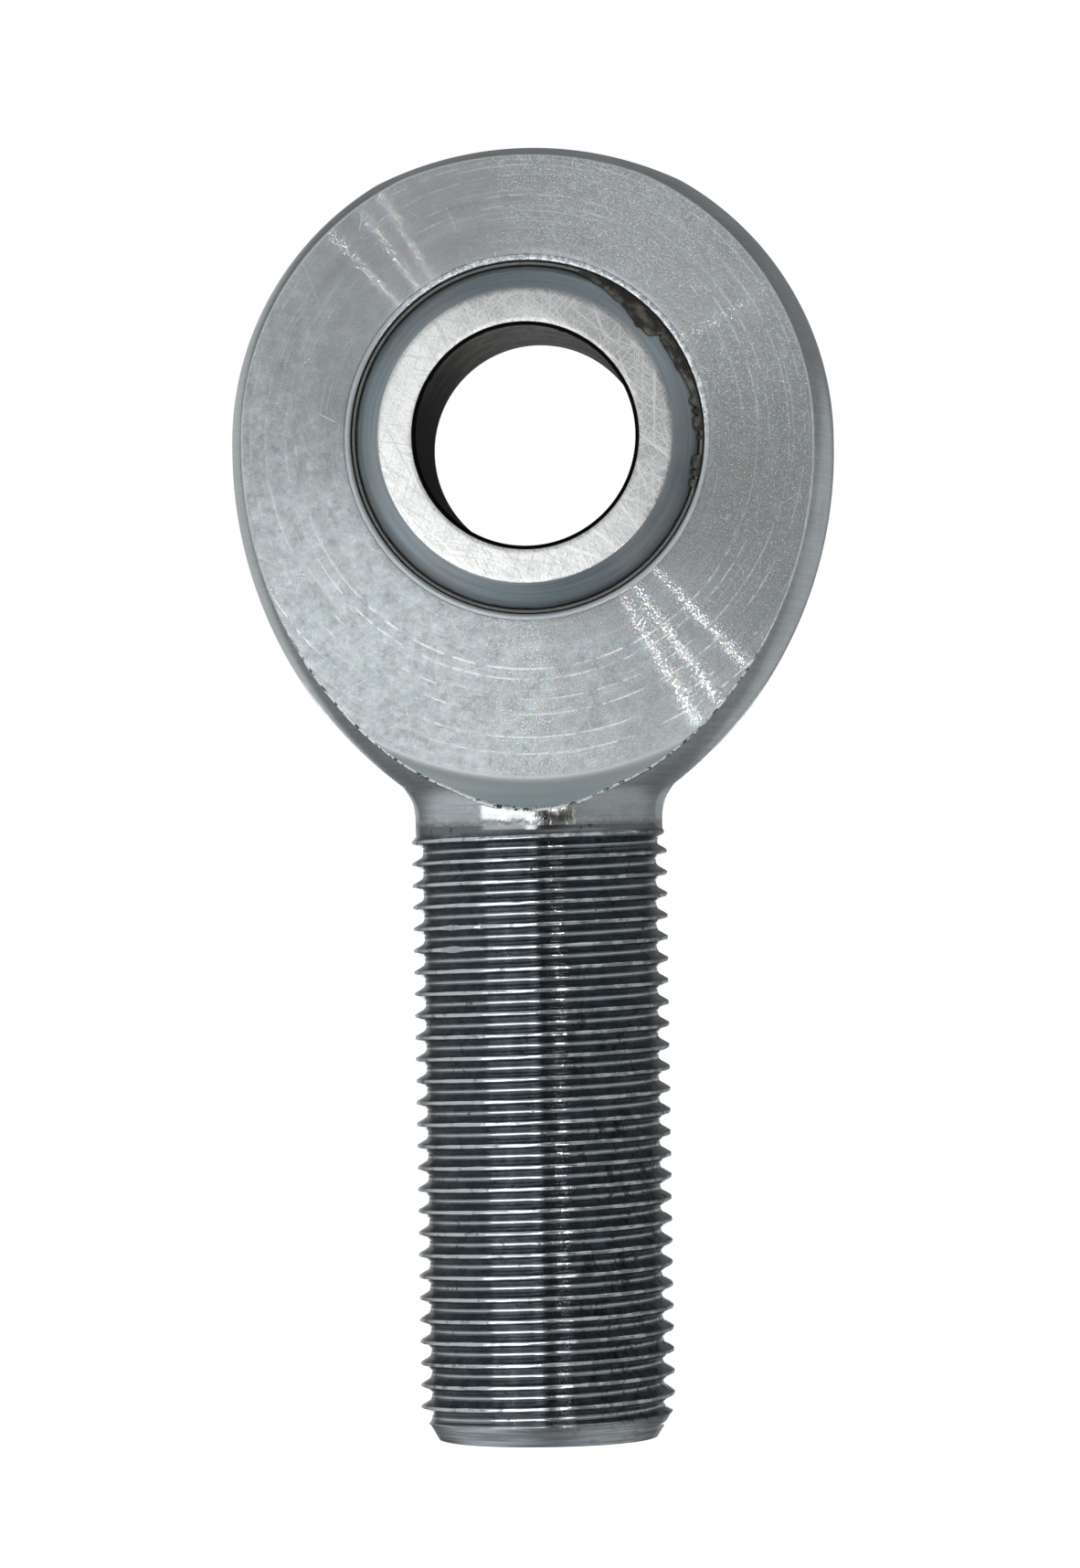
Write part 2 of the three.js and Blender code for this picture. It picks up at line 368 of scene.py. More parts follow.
def build_body():
    """Eye and shank as one closed skin: flats, edges, pocket, side, neck, thread and end."""
    skin = Skin()
    angle = np.linspace(-TAU / 4, TAU * 3 / 4, AROUND_BORE, endpoint=False)
    edge_rho, start, corner, end = body_edge(angle)
    end = turned_point(np.arctan2(end[:, 1], end[:, 0]), end[:, 2])
    add_faces(skin, angle, edge_rho)
    add_edge_breaks(skin, start, corner, end)
    skin.grid(pocket_rows(angle), TURNED, wrap=True)

    last = AROUND_BORE - APRON_COLUMNS
    paths = side_paths(end[APRON_COLUMNS : last + 1])
    paths[:, 0] = end[APRON_COLUMNS : last + 1]
    paths[:, -1] = mirrored(end[APRON_COLUMNS : last + 1])
    skin.grid(paths, TURNED)

    # Columns of the neck, in order round the shank from the right of the front apron.
    front_apron = np.concatenate([end[last:], end[: APRON_COLUMNS + 1]])
    loops = [paths[0], mirrored(front_apron)[::-1], paths[-1][::-1], front_apron]
    rim = np.concatenate([loop[:-1] for loop in loops])
    theta = np.unwrap(np.arctan2(rim[:, 1], rim[:, 0]))
    fall = np.linspace(0, 1, 17)[:, None]
    z = rim[None, :, 2] * (1 - fall) + NECK_SPLIT * fall
    neck = turned_point(theta[None, :] + 0 * z, z)
    neck[0] = rim
    skin.grid(neck, TURNED, wrap=True)
    add_thread(skin, theta)
    add_shank_end(skin, theta)
    return skin


def pocket_rows(angle):
    """The hidden seat of the race: a cylinder between two cones, behind a short straight lip."""
    cone = RACE_OUTER - RACE_RIM_OUTER
    wall = RACE_OUTER + 0.05
    profile = np.array([
        (OPENING_RADIUS, -EYE_HALF_WIDTH + OPENING_BREAK),
        (OPENING_RADIUS, -RACE_HALF_WIDTH + 0.06),
        (wall, -RACE_HALF_WIDTH + cone),
        (wall, RACE_HALF_WIDTH - cone),
        (OPENING_RADIUS, RACE_HALF_WIDTH - 0.06),
        (OPENING_RADIUS, EYE_HALF_WIDTH - OPENING_BREAK),
    ])
    return on_bore_axis(profile[:, :1], profile[:, 1:], angle[None, :])


# ---- Thread -------------------------------------------------------------------------------------

def thread_form():
    """One pitch of a 60 degree thread from crest to crest: phases in 0..1 and heights in 0..1."""
    slope = math.tan(math.radians(60))
    bottom = ROOT_ROUND * (1 - math.cos(math.radians(60)))
    reach = ROOT_ROUND * math.sin(math.radians(60))
    crest = PITCH / 2 - reach - (THREAD_DEPTH - bottom) / slope
    arc = np.radians(np.linspace(60, 0, 7))
    from_crest = [0.0, crest - 0.05, crest - 0.012, crest + 0.022]
    height = [THREAD_DEPTH, THREAD_DEPTH, THREAD_DEPTH - 0.012, THREAD_DEPTH - 0.05]
    for share in (0.33, 0.66):
        from_crest.append(crest + share * (THREAD_DEPTH - bottom) / slope)
        height.append(THREAD_DEPTH - share * (THREAD_DEPTH - bottom))
    from_crest.extend(PITCH / 2 - ROOT_ROUND * np.sin(arc))
    height.extend(ROOT_ROUND * (1 - np.cos(arc)))
    falling = np.array([from_crest, height]).T / [PITCH, THREAD_DEPTH]
    rising = falling[-2:0:-1] * [-1, 1] + [1, 0]
    return np.concatenate([falling, rising])


def add_thread(skin, theta):
    """The threaded length. Rows climb with the thread, and those past either end close up there."""
    low = SHANK_END + END_BREAK
    turn = theta / TAU
    form = thread_form()
    pitches = math.ceil((NECK_SPLIT - low) / PITCH) + 3
    row = (np.arange(pitches)[:, None] + form[:, 0]).reshape(-1, 1)
    coil = row + turn[None, :]
    z = np.clip(SHANK_END + PITCH * (coil - 1.5 + THREAD_PHASE), low, NECK_SPLIT)
    height = np.tile(form[:, 1], pitches)[:, None]

    groove = ease(THREAD_TOP - z, 0.1 * PITCH, 0.9 * PITCH)
    raised = ease(THREAD_TOP - z, 0.0, 0.45 * PITCH)
    worn = THREAD_RADIUS + crest_wear(coil)
    crest_radius = NECK_RADIUS + raised * (worn - NECK_RADIUS)
    root_radius = NECK_RADIUS + groove * (THREAD_RADIUS - THREAD_DEPTH - NECK_RADIUS)
    radius = root_radius + height * (crest_radius - root_radius)
    chamfer = END_RADIUS + (z - SHANK_END) * math.tan(math.radians(30))
    radius = np.minimum(radius, chamfer)
    radius = np.minimum(radius, THREAD_RADIUS - crest_nicks(theta[None, :], z) + 0.03)
    points = np.stack([radius * np.cos(theta), radius * np.sin(theta), z], axis=-1)
    # The first column again, one pitch of rows higher up the list, closes the coil.
    rows = len(form)
    closing = np.concatenate([points[rows:, :1], np.repeat(points[-1:, :1], rows, axis=0)])
    skin.grid(np.concatenate([points, closing], axis=1), THREADED)


def crest_wear(coil):
    """Uneven crests: small waves along the coil."""
    along = coil * TAU
    waves = sum(np.sin(along * n + s) for n, s in ((3.3, 0.4), (7.1, 2.0), (13.7, 4.1), (29.3, 1.2)))
    return 0.008 * waves


# Where crests on the front were knocked flat: height, position across, length and depth.
NICKS = ((-35.45, -6.0, 0.7, 0.12), (-37.03, -6.0, 1.0, 0.24), (-35.4, -3.9, 0.25, 0.12))


def crest_nicks(theta, z):
    """How far the crests are knocked in."""
    across = THREAD_RADIUS * np.cos(theta)
    front = np.sin(theta) < 0
    return sum(depth * front * bump(across, x, length) * bump(z, height, 0.5)
               for height, x, length, depth in NICKS)


def add_shank_end(skin, theta):
    """The end face, with its corner broken."""
    profile = np.array([
        (END_RADIUS + END_BREAK * math.tan(math.radians(30)), END_BREAK),
        (END_RADIUS - 0.005, 0.018),
        (END_RADIUS - 0.06, 0.0),
        (END_RADIUS - 0.3, 0.0),
        (5.0, 0.0),
        (2.0, 0.0),
        (0.0, 0.0),
    ])
    radius = profile[:, :1]
    z = SHANK_END + profile[:, 1:]
    skin.grid(np.stack(np.broadcast_arrays(
        radius * np.cos(theta), radius * np.sin(theta), z), axis=-1), TURNED, wrap=True)


# ---- Race, liner and ball -----------------------------------------------------------------------

def curve(start, corner, end, steps=6):
    """A rounded corner from start to end."""
    t = np.linspace(0, 1, steps)[:, None]
    start, corner, end = map(np.array, (start, corner, end))
    return (1 - t) ** 2 * start + 2 * t * (1 - t) * corner + t ** 2 * end


def sphere_arc(radius, y_start, y_end, steps):
    """Points (radius from the bore's axis, y) along a sphere."""
    a = np.linspace(math.asin(y_start / radius), math.asin(y_end / radius), steps)
    return np.stack([radius * np.cos(a), radius * np.sin(a)], axis=-1)


def flipped(profile):
    """The same profile on the other side of the middle plane, in reverse order."""
    return profile[::-1] * np.array([1, -1])


def turned_on_bore(profile, columns):
    """A profile of (radius, y) points turned about the bore."""
    angle = around(columns)
    return on_bore_axis(profile[:, :1], profile[:, 1:], angle[None, :])


def build_race():
    cone = RACE_OUTER - RACE_RIM_OUTER
    h = RACE_HALF_WIDTH
    edge = math.sqrt(SEAT_RADIUS ** 2 - h ** 2)
    rim = RACE_RIM_OUTER
    outer_corner = curve((rim + 0.03, h - 0.03), (rim, h), (rim - 0.03, h), 4)
    lip_end = sphere_arc(SEAT_RADIUS, h - 0.32, h - 0.32, 1)[0]
    lip = curve((edge + 0.33, h), (edge, h), lip_end, 9)
    half = np.concatenate([[(RACE_OUTER, 0.0), (RACE_OUTER, h - cone)], outer_corner, lip])
    seat = sphere_arc(SEAT_RADIUS, h - 0.32, -(h - 0.32), 40)[1:-1]
    profile = np.concatenate([half, seat, flipped(half)])
    skin = Skin()
    skin.grid(turned_on_bore(profile, AROUND_RING), 0, wrap=True)
    return skin


def liner_edge(angle, seed):
    """Distance of the liner's slightly frayed cut edge from the middle plane."""
    return LINER_EDGE + 0.04 * wavy(angle, seed, (17, 29, 41, 67, 101))


def build_liner():
    """A thin spherical band with frayed edges and a torn flash on the front."""
    angle = around(AROUND_LINER)
    ragged = wavy(angle, 31, (19, 33, 54, 88, 120))
    flap = 1.6 * ease(angle, 0.61, 0.68) * (1 - ease(angle, 0.66, 1.35))
    strip = 0.8 * ease(angle, 0.12, 0.50) * (1 - ease(angle, 0.60, 0.66))
    scraps = 0.5 * ease(np.cos(angle - 0.05), 0.90, 0.97) * ease(ragged, -0.3, 0.2)
    flash = np.maximum(np.maximum(flap, strip), scraps) * (1 + 0.12 * ragged)
    front = -(liner_edge(angle, 21) + flash)
    back = liner_edge(angle, 22)
    t = np.linspace(0, 1, ACROSS_LINER)[:, None]
    y_in = front * (1 - t) + back * t
    thin = 1 - 0.62 * ease(-y_in, LINER_EDGE - 0.1, LINER_EDGE + 0.5)
    inner = on_bore_axis(root(LINER_INNER ** 2 - y_in ** 2), y_in, angle)
    outer_radius = LINER_INNER + (LINER_OUTER - LINER_INNER) * thin
    outer = on_bore_axis(root(outer_radius ** 2 - y_in ** 2), y_in, angle)
    skin = Skin()
    skin.grid(np.concatenate([inner, outer[::-1], inner[:1]]), 0, wrap=True)
    return skin


def build_ball():
    h = BALL_HALF_WIDTH
    rim = math.sqrt(BALL_RADIUS ** 2 - h ** 2)
    bore = BORE_RADIUS
    bore_edge = bore + BORE_CHAMFER
    wall_end = h - BORE_CHAMFER
    wall = np.array([(bore, 0.0), (bore, h * 0.5), (bore, wall_end - 0.05)])
    chamfer = np.concatenate([
        curve((bore, wall_end - 0.03), (bore, wall_end), (bore + 0.03, wall_end + 0.03), 3),
        curve((bore_edge - 0.03, h - 0.03), (bore_edge, h), (bore_edge + 0.04, h), 3),
    ])
    flat = np.array([(r, h) for r in (8.6, 9.2, 9.8, 10.3)])
    corner_end = sphere_arc(BALL_RADIUS, h - 0.11, h - 0.11, 1)[0]
    corner = curve((rim - 0.09, h), (rim, h), corner_end, 6)
    zone = sphere_arc(BALL_RADIUS, h - 0.11, 0.0, 42)[1:]
    half = np.concatenate([wall, chamfer, flat, corner, zone])
    profile = np.concatenate([half, flipped(half)[1:]])
    skin = Skin()
    skin.grid(turned_on_bore(profile, AROUND_RING), 0, wrap=True)
    return skin


# ---- Materials ----------------------------------------------------------------------------------

class Finish:
    """A material with short calls for the nodes that its surface is mixed from."""

    def __init__(self, name):
        self.material = bpy.data.materials.new(name)
        self.material.use_nodes = True
        self.tree = self.material.node_tree
        self.tree.nodes.clear()
        here = self.node("ShaderNodeTexCoord").outputs["Object"]
        offset = self.vector("SUBTRACT", here, tuple(CENTRE))
        self.place = self.vector("SCALE", offset, scale=1 / MM)  # millimetres from the ball's centre
        split = self.node("ShaderNodeSeparateXYZ", {0: self.place})
        self.x, self.y, self.z = split.outputs

    def node(self, kind, inputs=None, **settings):
        node = self.tree.nodes.new(kind)
        for key, value in settings.items():
            setattr(node, key, value)
        for key, value in (inputs or {}).items():
            self.put(node.inputs[key], value)
        return node

    def put(self, socket, value):
        if isinstance(value, bpy.types.NodeSocket):
            self.tree.links.new(value, socket)
        else:
            socket.default_value = value

    def math(self, operation, *values):
        """A math node's result."""
        return self.node("ShaderNodeMath", dict(enumerate(values)), operation=operation).outputs[0]

    def vector(self, operation, *values, scale=None):
        inputs = dict(enumerate(values))
        if scale is not None:
            inputs["Scale"] = scale
        return self.node("ShaderNodeVectorMath", inputs, operation=operation).outputs[0]

    def join(self, x, y, z):
        return self.node("ShaderNodeCombineXYZ", {0: x, 1: y, 2: z}).outputs[0]

    def ramp(self, value, low, high, out_low=0.0, out_high=1.0):
        """value eased from low..high to out_low..out_high."""
        inputs = {"Value": value, 1: low, 2: high, 3: out_low, 4: out_high}
        return self.node("ShaderNodeMapRange", inputs, interpolation_type="SMOOTHSTEP").outputs[0]

    def noise(self, place, scale, detail=3.0, rough=0.5):
        """Noise between 0 and 1, scale being its cells per unit of place."""
        inputs = {"Vector": place, "Scale": scale, "Detail": detail, "Roughness": rough}
        return self.node("ShaderNodeTexNoise", inputs).outputs[0]

    def mix(self, share, first, second):
        """first at share 0, second at share 1, for colours."""
        node = self.node("ShaderNodeMix", data_type="RGBA")
        for socket, value in zip((node.inputs[0], node.inputs[6], node.inputs[7]), (share, first, second)):
            self.put(socket, value if isinstance(value, (float, bpy.types.NodeSocket)) else (*value, 1.0))
        return node.outputs[2]

    def brighten(self, colour, share):
        """colour times share."""
        return self.node("ShaderNodeVectorMath", {0: colour, "Scale": share}, operation="SCALE").outputs[0]

    def bump(self, height, size, below=None):
        """A normal bent by a height, size in millimetres for a height of 1."""
        inputs = {"Height": height, "Distance": size * MM, "Strength": 1.0}
        if below is not None:
            inputs["Normal"] = below
        return self.node("ShaderNodeBump", inputs).outputs[0]

    def scratches(self, turns, length, width, level, seed):
        """Short fine straight marks in several directions: 1 on a mark, 0 between them."""
        marks = None
        for i, turn in enumerate(turns):
            turned = self.node("ShaderNodeMapping", {
                "Vector": self.place, "Location": (seed + 3.7 * i, 0.0, 1.9 * i),
                "Rotation": (0.0, turn, 0.0), "Scale": (length, 1.0, width),
            }, vector_type="TEXTURE").outputs[0]
            field = self.noise(turned, 1.0, detail=1.0, rough=0.4)
            mark = self.ramp(field, level, level + 0.04)
            marks = mark if marks is None else self.math("MAXIMUM", marks, mark)
        return marks

    def radial(self):
        """Distance from the bore's axis, and the unit direction away from it."""
        flat = self.join(self.x, 0.0, self.z)
        length = self.vector_length(flat)
        return length, self.vector("NORMALIZE", flat)

    def vector_length(self, vector):
        return self.node("ShaderNodeVectorMath", {0: vector}, operation="LENGTH").outputs["Value"]

    def world_direction(self, vector):
        return self.node("ShaderNodeVectorTransform", {0: vector}, vector_type="VECTOR",
                         convert_from="OBJECT", convert_to="WORLD").outputs[0]

    def ring_noise(self, radius, direction, across, along, detail=2.0):
        """Noise drawn out along circles: across is marks per millimetre of radius."""
        place = self.vector("ADD", self.vector("SCALE", direction, scale=along),
                            self.join(0.0, self.math("MULTIPLY", radius, across), 0.0))
        return self.noise(place, 1.0, detail=detail, rough=0.6)

    def round_shank(self, direction, along, across):
        """A place whose noise is drawn out round the shank: across is marks per millimetre up it."""
        return self.vector("ADD", self.vector("SCALE", direction, scale=along),
                           self.join(0.0, 0.0, self.math("MULTIPLY", self.z, across)))

    def finish(self, shader):
        self.node("ShaderNodeOutputMaterial", {"Surface": shader})
        return self.material

    def blend(self, share, first, second):
        """first at share 0, second at share 1, for numbers."""
        return self.node("ShaderNodeMix", {0: share, 2: first, 3: second}, data_type="FLOAT").outputs[0]

    def metal(self, colour, roughness, normal, across=None, directional=0.0, metallic=1.0, gloss=0.5):
        """Metal whose highlights stretch across its grooves, where it has any."""
        inputs = {"Base Color": colour if isinstance(colour, bpy.types.NodeSocket) else (*colour, 1.0),
                  "Roughness": roughness, "Metallic": metallic, "Specular IOR Level": gloss}
        inputs["Normal"] = normal
        if across is not None:
            inputs["Tangent"] = self.world_direction(across)
            inputs["Anisotropic"] = directional
        return self.node("ShaderNodeBsdfPrincipled", inputs).outputs[0]

    def glint(self, colour, spread, directional, along, normal, share, under):
        """Adds the sharp streaks that fine parallel grooves make, as a share over another shader."""
        sheen = self.node("ShaderNodeBsdfAnisotropic", {
            "Color": colour, "Roughness": spread, "Anisotropy": directional,
            "Tangent": self.world_direction(along), "Normal": normal}).outputs[0]
        return self.node("ShaderNodeMixShader", {0: share, 1: under, 2: sheen}).outputs[0]


def faced_zinc():
    """The eye's flats: circular tool marks under clear zinc, cloudy, with fine scratches, and painted
    light: lighter towards the lower left and the top, darker towards the bottom, with painted highlights
    along the tool rings.
    """
    f = Finish("faced_zinc")
    radius, direction = f.radial()
    around_bore = f.vector("CROSS_PRODUCT", direction, (0.0, 1.0, 0.0))
    fine = f.ring_noise(radius, direction, 8.0, 2.2)
    broad = f.ring_noise(radius, direction, 1.1, 2.4, 3.0)
    cloud = f.noise(f.place, 0.10, 4.0, 0.62)
    speck = f.noise(f.place, 3.4, 3.0, 0.75)
    # Painted light: besides its noisy clouds, the whitish mottling is made lighter towards the lower left.
    chalk_and_painted_light = f.math("ADD", f.math("MULTIPLY", f.x, -0.023), f.math("MULTIPLY", f.z, -0.022))
    chalk_and_painted_light = f.ramp(f.math("ADD", chalk_and_painted_light, cloud), 0.30, 1.05)

    colour = f.mix(chalk_and_painted_light, (0.325, 0.345, 0.355), (0.50, 0.548, 0.565))
    colour = f.brighten(colour, f.ramp(broad, 0.25, 0.75, 0.93, 1.06))
    # Painted light: lighter towards the top, and a little darker towards the bottom.
    colour = f.brighten(colour, f.ramp(f.z, 2.0, 11.0, 1.0, 1.10))
    colour = f.brighten(colour, f.ramp(f.z, -4.0, -12.0, 1.0, 0.965))
    colour = f.brighten(colour, f.ramp(fine, 0.2, 0.8, 0.94, 1.06))
    flat = f.ramp(radius, FACING_RADIUS + 0.25, FACING_RADIUS - 0.05)
    clump = f.noise(f.place, 1.1, 2.0, 0.6)
    patchy = f.math("MULTIPLY", f.math("SUBTRACT", clump, 0.5), 0.8)
    grain = f.math("ADD", f.math("SUBTRACT", speck, 0.5), patchy)
    contrast = f.math("MULTIPLY", grain, f.ramp(chalk_and_painted_light, 0.2, 0.9, 0.35, 1.15))
    colour = f.brighten(colour, f.math("ADD", 1.0, f.math("MULTIPLY", contrast, flat)))
    # Painted highlights: the arcs and the tool rings are drawn as near-white lines over the rings' real
    # shallow grooves. The scratches mixed in with them are marks of their own.
    arcs = f.ramp(f.ring_noise(radius, direction, 9.0, 1.5, 1.0), 0.66, 0.72)
    rings = None
    for at, width, _ in TOOL_RINGS:
        ring = f.ramp(f.math("ABSOLUTE", f.math("SUBTRACT", radius, at)), 1.3 * width, 0.4 * width)
        rings = ring if rings is None else f.math("MAXIMUM", rings, ring)
    broken = f.ramp(f.noise(f.place, 0.10, 2.0, 0.9), 0.40, 0.52)
    broken = f.math("MULTIPLY", broken, f.ramp(f.noise(f.place, 1.4, 1.0), 0.35, 0.55))
    broken = f.math("MULTIPLY", broken, f.ramp(f.z, -6.0, -15.0, 0.4, 1.0))
    arcs = f.math("MAXIMUM", f.math("MULTIPLY", arcs, 0.4), f.math("MULTIPLY", rings, broken))
    long_marks = f.scratches((0.5, 1.2, 2.6), 5.0, 0.09, 0.745, 5.0)
    flecks = f.scratches((0.2, 0.9, 1.7, 2.4), 1.0, 0.10, 0.73, 9.0)
    flecks = f.math("MULTIPLY", flecks, f.ramp(f.noise(f.place, 0.16, 2.0), 0.50, 0.66))
    marks = f.math("MAXIMUM", f.math("MULTIPLY", long_marks, 0.55), flecks)
    lines = f.math("MAXIMUM", f.math("MULTIPLY", arcs, 0.85), f.math("MULTIPLY", marks, 0.75))
    colour = f.mix(f.math("MULTIPLY", lines, flat), colour, (0.95, 0.97, 0.98))
    pits = f.ramp(f.noise(f.place, 2.3, 3.0, 0.8), 0.27, 0.31)
    colour = f.mix(pits, (0.20, 0.20, 0.205), colour)
    cut = f.mix(f.ramp(radius, FACING_RADIUS, FACING_RADIUS + 1.8), (0.46, 0.50, 0.51), (0.71, 0.80, 0.81))
    colour = f.mix(flat, cut, colour)

    height = f.math("ADD", f.math("MULTIPLY", fine, 0.6), f.math("MULTIPLY", speck, 0.9))
    normal = f.bump(f.math("MULTIPLY", height, flat), 0.007)
    normal = f.bump(f.math("MULTIPLY", marks, flat), -0.012, normal)
    base = f.metal(colour, f.blend(flat, 0.30, 0.40), normal, direction, 0.65)
    # Fine grooves split small lights into colours that change from spot to spot.
    order = f.math("MULTIPLY", f.noise(f.place, 1.8, 2.0), 7.0)
    hue = f.node("ShaderNodeCombineColor", {0: f.math("FRACT", order), 1: 0.36, 2: 1.0},
                 mode="HSV").outputs[0]
    sparkle = f.ramp(f.noise(f.place, 9.0, 1.0, 0.8), 0.46, 0.70, 0.02, 1.0)
    sparkle = f.math("MULTIPLY", sparkle, f.math("MULTIPLY", flat, f.ramp(f.z, 12.0, -3.0, 0.5, 0.9)))
    clean = f.math("MAXIMUM", f.ramp(f.x, -8.0, 1.0, 0.35), f.ramp(f.z, 0.0, 7.0))
    sparkle = f.math("MULTIPLY", sparkle, clean)
    uneven = f.bump(f.noise(f.place, 7.0, 1.0, 0.5), 0.0014)
    glint = f.glint(hue, 0.20, 0.92, around_bore, uneven, sparkle, base)
    return f.finish(glint)


def turned_zinc():
    """The turned outside of the head, the neck and the end: satin, with marks round the shank, painted
    lighter up the head than on the neck, and with painted glints by the stain on the neck.
    """
    f = Finish("turned_zinc")
    flat = f.join(f.x, f.y, 0.0)
    direction = f.vector("NORMALIZE", flat)
    lines = f.noise(f.round_shank(direction, 1.6, 5.0), 1.0, 3.0, 0.65)
    cloud = f.noise(f.place, 0.2, 3.0, 0.6)
    speck = f.noise(f.place, 3.0, 3.0, 0.7)
    colour = f.mix(f.ramp(cloud, 0.3, 0.7), (0.48, 0.51, 0.525), (0.60, 0.635, 0.655))
    # Painted light: lighter up the head than on the neck.
    colour = f.brighten(colour, f.ramp(f.z, -28.5, -22.0, 1.12, 1.48))
    colour = f.brighten(colour, f.ramp(lines, 0.25, 0.75, 0.88, 1.08))
    colour = f.brighten(colour, f.ramp(speck, 0.25, 0.75, 0.92, 1.06))

    # A rough dark band where the thread starts, and burnt-on stains under the facing cut.
    tall = f.vector("MULTIPLY", f.place, (1.6, 1.6, 0.5))
    torn = f.noise(tall, 1.2, 3.0, 0.7)
    edge = f.math("ADD", f.z, f.math("MULTIPLY", torn, 1.1))
    band = f.ramp(edge, BAND_TOP + 0.85, BAND_TOP + 0.45)
    band = f.math("MULTIPLY", band, f.ramp(f.z, THREAD_TOP - 1.5, THREAD_TOP - 1.0))
    colour = f.mix(f.math("MULTIPLY", band, f.ramp(torn, 0.3, 0.65, 0.3, 0.9)), colour, (0.22, 0.23, 0.235))
    middle = (STAIN_X, -NECK_RADIUS, STAIN_Z)
    spot = f.vector("MULTIPLY", f.vector("SUBTRACT", f.place, middle), (0.46, 0.3, 0.62))
    near = f.ramp(f.vector_length(spot), 1.15, 0.35)
    stain = f.noise(f.vector("MULTIPLY", f.place, (2.2, 1.0, 0.6)), 1.0, 3.0, 0.7)
    stain = f.ramp(f.math("ADD", f.math("MULTIPLY", near, 0.30), stain), 0.66, 0.78)
    stain = f.math("MULTIPLY", stain, near)
    burnt = f.mix(f.ramp(torn, 0.4, 0.6), (0.03, 0.025, 0.02), (0.22, 0.19, 0.15))
    colour = f.mix(f.math("MULTIPLY", stain, 0.85), colour, burnt)

    # Painted glints: white flecks in and around the stain.
    flecks = f.ramp(f.noise(tall, 2.6, 2.0, 0.6), 0.57, 0.62)
    flecks = f.math("MULTIPLY", flecks, f.ramp(near, 0.2, 0.5))
    colour = f.mix(flecks, colour, (0.92, 0.91, 0.87))

    rough = f.math("ADD", f.ramp(speck, 0.3, 0.7, 0.16, 0.25), f.math("MULTIPLY", band, 0.2))
    rough = f.math("ADD", rough, f.ramp(f.z, -22.0, -25.0, 0.0, -0.08))
    normal = f.bump(f.math("ADD", lines, f.math("MULTIPLY", speck, 0.4)), 0.008)
    normal = f.bump(f.math("MULTIPLY", f.math("MAXIMUM", near, band), torn), 0.05, normal)
    return f.finish(f.metal(colour, rough, normal, f.join(0.0, 0.0, 1.0), 0.6))


def bright_edge():
    """The uneven edge of the facing cut, low down painted with highlights in beads and with shade in the
    gaps between them.
    """
    f = Finish("bright_edge")
    gaps = f.ramp(f.noise(f.place, 1.9, 3.0, 0.8), 0.42, 0.50)
    # Painted highlight and painted shade: near-white beads and near-black gaps along the burr.
    beads = f.mix(gaps, (0.07, 0.07, 0.07), (0.95, 0.96, 0.96))
    colour = f.mix(f.ramp(f.z, -10.0, -18.0), (0.66, 0.69, 0.70), beads)
    normal = f.bump(f.noise(f.place, 3.0, 2.0, 0.7), 0.12)
    return f.finish(f.metal(colour, 0.5, normal, metallic=0.6))


